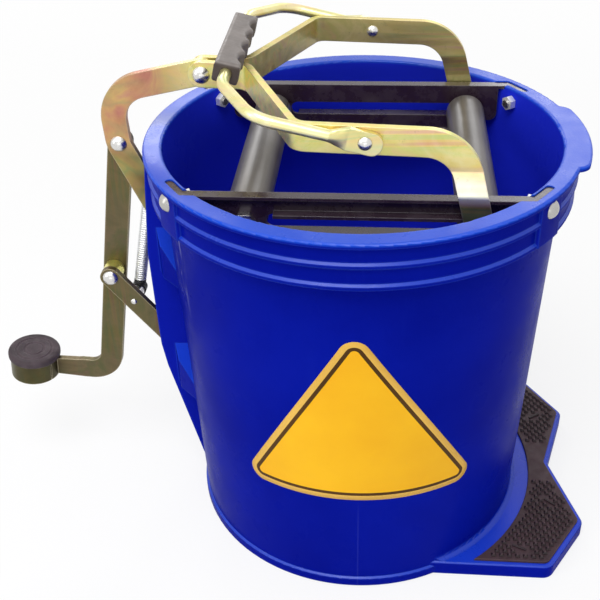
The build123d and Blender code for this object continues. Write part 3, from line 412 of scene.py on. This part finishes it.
# Painted shade: the yoke's rear arm wears a darker copy of the front arm's zinc
ZINC_BRONZE_SHADED = zinc("zinc_bronze_shaded", BRONZE, 0.30, 0.46, 0.80, ALONG_X)
ZINC_YELLOW = zinc("zinc_yellow", YELLOW, 0.26, 0.40, 1.0)
ZINC_CREAM = zinc("zinc_cream", CREAM, 0.26, 0.40, 1.0, ROD_GRAIN)
RAIL = black_paint()
SILVER = bright_steel("silver_zinc", (0.74, 0.73, 0.71), 0.22, 0.40)
BOLT = bright_steel("bolt_zinc", (0.50, 0.49, 0.47), 0.24, 0.42)
AXLE = bright_steel("axle_steel", (0.56, 0.56, 0.57), 0.24, 0.40)
SPRING_STEEL = bright_steel("spring_steel", (0.90, 0.91, 0.92), 0.40, 0.55)
ROLLER = roller_skin()
# Darker tread rubber: painted shade on the stud sides, and the bars' own dark colour
TREAD_DARK = rubber("tread_shade", (0.010, 0.005, 0.007), (0.020, 0.009, 0.012), 0.50, 0.72)
TREAD = rubber("tread_rubber", (0.032, 0.014, 0.018), (0.060, 0.030, 0.037), 0.50, 0.72)
CAP = rubber("cap_rubber", (0.042, 0.031, 0.036), (0.088, 0.064, 0.074), 0.48, 0.70, 900.0, 0.0003, 0.22)
GRIP = grip_rubber()
PLUG = rubber("plug_black", (0.012, 0.012, 0.012), (0.030, 0.030, 0.030), 0.40, 0.55)
NYLON = nylon()
NUT = bright_steel("nut_zinc", (0.90, 0.90, 0.90), 0.34, 0.50, 0.55)
STICKER_FIELD = vinyl("sticker_field", (0.93, 0.50, 0.010), (0.88, 0.44, 0.008))
STICKER_EDGE = vinyl("sticker_edge", (0.80, 0.48, 0.095), (0.72, 0.42, 0.075))
STICKER_BAND = vinyl("sticker_band", (0.090, 0.036, 0.004), (0.065, 0.026, 0.003))

WEAR = {
    "bucket": BLUE, "foot_pad": TREAD, "front_rail": RAIL, "rear_rail": RAIL, "rail_bolts": BOLT,
    "rail_nuts": NUT, "fixed_axle": AXLE, "fixed_roller": ROLLER, "fixed_axle_nuts": SILVER,
    "slide_axle": AXLE, "slide_roller": ROLLER, "slide_axle_nuts": SILVER, "slide_bushes": NYLON,
    "yoke_front_arm": ZINC_GOLD, "yoke_rear_arm": ZINC_BRONZE_SHADED, "yoke_rivet": SILVER,
    "bell_crank": ZINC_COPPER, "crank_pivot_pin": SILVER, "crank_bushes": NYLON,
    "pedal_lever": ZINC_OLIVE, "crank_lever_rivet": SILVER, "pedal_cap": CAP, "lower_link": ZINC_OLIVE,
    "link_rivet": SILVER, "link_spacer": ZINC_YELLOW, "link_pivot_pin": SILVER, "link_bushes": NYLON,
    "return_spring": SPRING_STEEL, "spring_pin": SILVER, "spring_anchor_pin": SILVER,
    "spring_foot_plug": PLUG, "spring_top_plug": PLUG, "bail_rod": ZINC_CREAM, "bail_grip": GRIP,
    "bail_rivets": SILVER,
}
for name, node in nodes.items():
    node.data.materials.clear()
    node.data.materials.append(WEAR[name])
    for face in node.data.polygons:
        face.material_index = 0

# Level faces of the bucket, rubbed by hands and feet, are glossier than its walls and pivot fins
LEVEL_NORMAL = 0.5
FINS_X = -0.12
FINS_LOW = 0.03
FINS_HIGH = 0.30
bucket_mesh = nodes["bucket"].data
bucket_mesh.materials.append(BLUE_LEDGE)
for face in bucket_mesh.polygons:
    on_fins = face.center.x < FINS_X and FINS_LOW < face.center.z < FINS_HIGH
    if face.normal.z > LEVEL_NORMAL and not on_fins:
        face.material_index = 1


# Mesh helpers

def piece(name, verts, faces, material, smooth=True):
    """New mesh object from millimetre points."""
    mesh = bpy.data.meshes.new(name)
    mesh.from_pydata([tuple(MM * c for c in v) for v in verts], [], faces)
    mesh.validate()
    mesh.update()
    if smooth:
        mesh.polygons.foreach_set("use_smooth", [True] * len(mesh.polygons))
    mesh.materials.append(material)
    made = bpy.data.objects.new(name, mesh)
    scene.collection.objects.link(made)
    return made


def tube(points, radius, sides):
    """Vertices and faces of a closed-ended tube along a run of points."""
    verts = []
    faces = []
    normal = None
    for i, point in enumerate(points):
        ahead = points[min(i + 1, len(points) - 1)] - points[max(i - 1, 0)]
        ahead.normalize()
        if normal is None:
            normal = ahead.orthogonal().normalized()
        normal = (normal - ahead * normal.dot(ahead)).normalized()
        other = ahead.cross(normal)
        for k in range(sides):
            a = 2 * pi * k / sides
            verts.append(point + (normal * cos(a) + other * sin(a)) * radius)
    for i in range(len(points) - 1):
        for k in range(sides):
            a = i * sides + k
            b = i * sides + (k + 1) % sides
            faces.append((a, b, b + sides, a + sides))
    faces.append(tuple(range(sides - 1, -1, -1)))
    last = (len(points) - 1) * sides
    faces.append(tuple(last + k for k in range(sides)))
    return verts, faces


# Return spring: close-wound coil between the two plugs, in millimetres
SPRING_TURNS = 39
SPRING_STEPS = 22
SPRING_INSET = 0.9
WIRE_R = 0.96
WIRE_SIDES = 8


def make_spring():
    along = (SPRING_ANCHOR - SPRING_PIN).normalized()
    span = (SPRING_ANCHOR - SPRING_PIN).length
    side = Vector((0, 1, 0))
    other = along.cross(side)
    low = FOOT_REACH + SPRING_INSET
    high = span - TOP_REACH - SPRING_INSET
    steps = SPRING_STEPS * SPRING_TURNS
    points = []
    for i in range(steps + 1):
        share = i / steps
        a = 2 * pi * SPRING_TURNS * share
        ring = (side * cos(a) + other * sin(a)) * COIL_R
        points.append(SPRING_PIN + along * (low + (high - low) * share) + ring)
    verts, faces = tube(points, WIRE_R, WIRE_SIDES)
    coil = piece("spring_coil", verts, faces, SPRING_STEEL)
    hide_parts("return_spring")
    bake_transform(coil)


make_spring()


# Tread pad, in millimetres: staggered rows of small pyramids, plain beside the notch, and three short bars
STUD_PITCH = 6.4
STUD_ROW = 4.5
STUD_HALF = 2.0
STUD_TIP = 0.7
STUD_H = 1.8
STUD_SUNK = 0.05
STUD_BORDER = 3.4
STUD_CLEAR = 26.0
BARS = [((162.9, -47.6), (171.4, -54.2)), ((131.0, -101.4), (141.5, -106.1)), ((161.3, 58.2), (170.9, 64.5))]
BAR_HALF = 0.9
BAR_H = 1.1
PAD_FLAT = 0.3
SQUARE = ((-1, -1), (1, -1), (1, 1), (-1, 1))


def make_studs():
    pad = nodes["foot_pad"].data
    tree = BVHTree.FromPolygons([v.co for v in pad.vertices], [tuple(p.vertices) for p in pad.polygons])
    around = [(STUD_BORDER * cos(pi * k / 4), STUD_BORDER * sin(pi * k / 4)) for k in range(8)]
    base = PAD_TOP - STUD_SUNK
    verts = []
    faces = []
    tints = []

    def on_pad(x, y):
        top = tree.ray_cast(Vector((x, y, 2 * PAD_TOP)) * MM, Vector((0, 0, -1)))[0]
        return top is not None and top.z > (PAD_TOP - PAD_FLAT) * MM

    def near_bar(x, y):
        for start, end in BARS:
            run = Vector(end) - Vector(start)
            share = min(1.0, max(0.0, (Vector((x, y)) - Vector(start)).dot(run) / run.length_squared))
            if (Vector((x, y)) - Vector(start) - run * share).length < STUD_HALF + 2 * BAR_HALF:
                return True
        return False

    def block(low_corners, high_corners, height, top_tint):
        """Closed block from four lower and four upper corners."""
        first = len(verts)
        verts.extend((*corner, base) for corner in low_corners)
        verts.extend((*corner, base + height) for corner in high_corners)
        faces.append(tuple(first + k for k in (3, 2, 1, 0)))
        faces.append(tuple(first + k for k in (4, 5, 6, 7)))
        for k in range(4):
            n = (k + 1) % 4
            faces.append((first + k, first + n, first + 4 + n, first + 4 + k))
        # Painted shade: bottom and sides take the darker tread; a stud's top keeps the plain tread, a bar is
        # dark all over
        tints.extend([1, top_tint, 1, 1, 1, 1])

    low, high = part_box("foot_pad")
    rows = ceil((high[1] - low[1]) / (2 * STUD_ROW * MM))
    columns = ceil((high[0] - low[0]) / (STUD_PITCH * MM)) + 1
    for j in range(-rows, rows + 1):
        for i in range(columns):
            x = low[0] / MM + (i + 0.5 * (j % 2)) * STUD_PITCH
            y = j * STUD_ROW
            clear = abs(y) >= STUD_CLEAR and not near_bar(x, y)
            if clear and all(on_pad(x + dx, y + dy) for dx, dy in around):
                block([(x + STUD_HALF * dx, y + STUD_HALF * dy) for dx, dy in SQUARE],
                      [(x + STUD_TIP * dx, y + STUD_TIP * dy) for dx, dy in SQUARE], STUD_H, 0)
    for start, end in BARS:
        run = (Vector(end) - Vector(start)).normalized() * BAR_HALF
        across = Vector((-run.y, run.x))
        corners = [Vector(start) - across, Vector(end) - across, Vector(end) + across, Vector(start) + across]
        block(corners, corners, BAR_H, 1)
    studs = piece("foot_pad_studs", verts, faces, TREAD, False)
    studs.data.materials.append(TREAD_DARK)
    studs.data.polygons.foreach_set("material_index", tints)
    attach(studs, "frame")


make_studs()


# Bare sticker on the front wall: a rounded triangle laid round the taper.
# Corner centres are degrees round the bucket and millimetres up, the other sizes millimetres
STICKER_CORNERS = [(-89.4, 240.5), (-119.0, 110.5), (-56.4, 110.0)]
STICKER_ROUND = 11.0
STICKER_RIM = 4.6
STICKER_LINE = 7.6
STICKER_PROUD = 0.25
STICKER_SUNK = 0.5
STICKER_RINGS = (0.85, 0.7, 0.55, 0.4, 0.25, 0.12)
CORNER_STEPS = 12
SIDE_STEPS = 28


def wall_point(angle, z, proud):
    r = BODY_BASE_R + (BODY_TOP_R - BODY_BASE_R) * (z - PLINTH_H) / (HEIGHT - PLINTH_H) + proud
    return (r * cos(radians(angle)), r * sin(radians(angle)), z)


def sticker_outline(radius):
    """Points of the rounded triangle, as degrees round the wall and height."""
    per_degree = radians(1.0) * (BODY_BASE_R + BODY_TOP_R) / 2
    centres = [Vector((angle * per_degree, z)) for angle, z in STICKER_CORNERS]
    points = []
    for i, centre in enumerate(centres):
        following = centres[(i + 1) % 3]
        before = (centre - centres[i - 1]).normalized()
        after = (following - centre).normalized()
        out = Vector((before.y, -before.x))
        turn = before.angle_signed(after)
        for k in range(CORNER_STEPS + 1):
            a = -turn * k / CORNER_STEPS
            spin = Vector((out.x * cos(a) - out.y * sin(a), out.x * sin(a) + out.y * cos(a)))
            points.append(centre + spin * radius)
        leave = points[-1]
        reach = (following - centre).length
        for k in range(1, SIDE_STEPS):
            points.append(leave + after * reach * k / SIDE_STEPS)
    return [(p.x / per_degree, p.y) for p in points]


def make_sticker():
    """Closed plate of rings from its outline to its middle, with its back sunk in the wall."""
    rings = [sticker_outline(STICKER_ROUND - inset) for inset in (0.0, STICKER_RIM, STICKER_LINE)]
    middle = [sum(p[i] for p in rings[0]) / len(rings[0]) for i in (0, 1)]
    field = rings[-1]
    for share in STICKER_RINGS:
        rings.append([tuple(m + (c - m) * share for c, m in zip(p, middle)) for p in field])
    verts = []
    for proud in (STICKER_PROUD, -STICKER_SUNK):
        for ring in rings:
            verts.extend(wall_point(*p, proud) for p in ring)
        verts.append(wall_point(*middle, proud))
    count = len(field)
    last = (len(rings) - 1) * count
    back = len(verts) // 2
    faces = []
    tints = []
    for k in range(count):
        n = (k + 1) % count
        faces.append((back + k, k, n, back + n))
        tints.append(0)
        strips = [(i + k, i + count + k, i + count + n, i + n) for i in range(0, last, count)]
        strips.append((last + k, back - 1, last + n))
        for i, strip in enumerate(strips):
            faces.append(strip)
            faces.append(tuple(back + c for c in reversed(strip)))
            tints.extend([min(i, 2)] * 2)
    sticker = piece("sticker", verts, faces, STICKER_EDGE)
    sticker.data.materials.append(STICKER_BAND)
    sticker.data.materials.append(STICKER_FIELD)
    sticker.data.polygons.foreach_set("material_index", tints)
    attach(sticker, "frame")


make_sticker()


# Camera: place, angle and lens found from the rim, base and rollers in the photograph
CAMERA_AZIMUTH = 5.786832
CAMERA_ELEVATION = 34.254259
CAMERA_ROLL = -1.772942
CAMERA_TARGET = (-48.5806, 0.0, 184.2013)
CAMERA_AWAY = 814.8433
FOCAL_PIXELS = 986.8317
PICTURE_PIXELS = 600.0
SENSOR = 36.0


def aim_camera():
    azimuth = radians(CAMERA_AZIMUTH)
    elevation = radians(CAMERA_ELEVATION)
    roll = radians(CAMERA_ROLL)
    back = Vector((sin(azimuth) * cos(elevation), -cos(azimuth) * cos(elevation), sin(elevation)))
    right = Vector((cos(azimuth), sin(azimuth), 0.0))
    up = back.cross(right)
    turned_right = right * cos(roll) + up * sin(roll)
    turned_up = up * cos(roll) - right * sin(roll)
    place = Vector(CAMERA_TARGET) * MM + back * CAMERA_AWAY * MM
    data = bpy.data.cameras.new("camera")
    data.sensor_width = SENSOR
    data.lens = FOCAL_PIXELS / PICTURE_PIXELS * SENSOR
    data.clip_start = 0.01
    data.clip_end = 50.0
    camera = bpy.data.objects.new("camera", data)
    scene.collection.objects.link(camera)
    turn = Matrix((turned_right, turned_up, back)).transposed().to_4x4()
    camera.matrix_world = Matrix.Translation(place) @ turn
    scene.camera = camera


aim_camera()


# Pale floor and soft studio light, in metres and watts
FLOOR_TONES = ((0.965, 0.965, 0.965), (0.985, 0.985, 0.985))
FLOOR_WHITE = (0.76, 1.0)
FLOOR_FADE = (0.7, 1.7)
FLOOR_HALF = 9.0
FLOOR_DROP = 0.0006
WORLD_LIGHT = 0.50
WORLD_SEEN = 1.0
SOFTBOXES = [
    # name, place, target, width, height, power
    ("key", (-0.25, -0.95, 2.05), (0.0, 0.0, 0.25), 1.2, 1.2, 25.0),
    ("front", (0.10, -2.6, 0.50), (0.0, 0.0, 0.35), 1.8, 0.6, 4.5),
    ("left_front", (-1.9, -1.1, 1.2), (0.0, 0.0, 0.2), 0.5, 1.4, 8.0),
    ("left_back", (-0.90, 2.40, 1.42), (0.0, 0.0, 0.3), 0.7, 0.6, 8.0),
    ("right_back", (0.66, 2.40, 1.38), (0.0, 0.0, 0.3), 0.7, 0.6, 4.5),
]


def seen_share(tree):
    """1 for what the camera sees, straight or in a reflection, and 0 for light that falls on the object."""
    path = tree.nodes.new("ShaderNodeLightPath")
    total = path.outputs["Is Camera Ray"]
    for kind in ("Is Glossy Ray", "Is Transmission Ray"):
        either = tree.nodes.new("ShaderNodeMath")
        either.operation = "MAXIMUM"
        tree.links.new(total, either.inputs[0])
        tree.links.new(path.outputs[kind], either.inputs[1])
        total = either.outputs[0]
    return total


def lay_floor():
    """Pale floor that keeps the object's shadow and looks plain white further away."""
    paint = Paint("pale_floor", Roughness=0.75, Specular_IOR_Level=0.2)
    paint.feed("Base Color", paint.mix(paint.noise(3.0, 2.0), *FLOOR_TONES))
    away = paint.node("ShaderNodeVectorMath", operation="LENGTH")
    paint.join(paint.place, away.inputs[0])
    fade = paint.span(away.outputs["Value"], *FLOOR_WHITE, *FLOOR_FADE)
    white = paint.node("ShaderNodeEmission")
    both = paint.node("ShaderNodeMixShader")
    paint.join(paint.product(seen_share(paint.tree), fade), both.inputs["Fac"])
    paint.join(paint.shader.outputs["BSDF"], both.inputs[1])
    paint.join(white.outputs["Emission"], both.inputs[2])
    paint.join(both.outputs["Shader"], paint.tree.nodes["Material Output"].inputs["Surface"])
    half = FLOOR_HALF / MM
    corners = [(half * x, half * y, 0) for x, y in SQUARE]
    floor = piece("floor", corners, [(0, 1, 2, 3)], paint.material, False)
    floor.location.z = -FLOOR_DROP


def light_world():
    world = bpy.data.worlds.new("studio")
    scene.world = world
    world.use_nodes = True
    tree = world.node_tree
    background = tree.nodes["Background"]
    background.inputs["Color"].default_value = (1.0, 1.0, 1.0, 1.0)
    strength = tree.nodes.new("ShaderNodeMapRange")
    strength.inputs["To Min"].default_value = WORLD_LIGHT
    strength.inputs["To Max"].default_value = WORLD_SEEN
    tree.links.new(seen_share(tree), strength.inputs["Value"])
    tree.links.new(strength.outputs["Result"], background.inputs["Strength"])


def add_softbox(name, place, target, wide, tall, watts):
    data = bpy.data.lights.new(name, "AREA")
    data.shape = "RECTANGLE"
    data.size = wide
    data.size_y = tall
    data.energy = watts
    lamp = bpy.data.objects.new(name, data)
    scene.collection.objects.link(lamp)
    lamp.location = place
    look = (Vector(target) - Vector(place)).to_track_quat("-Z", "Y")
    lamp.rotation_euler = look.to_euler()


lay_floor()
light_world()
for softbox in SOFTBOXES:
    add_softbox(*softbox)
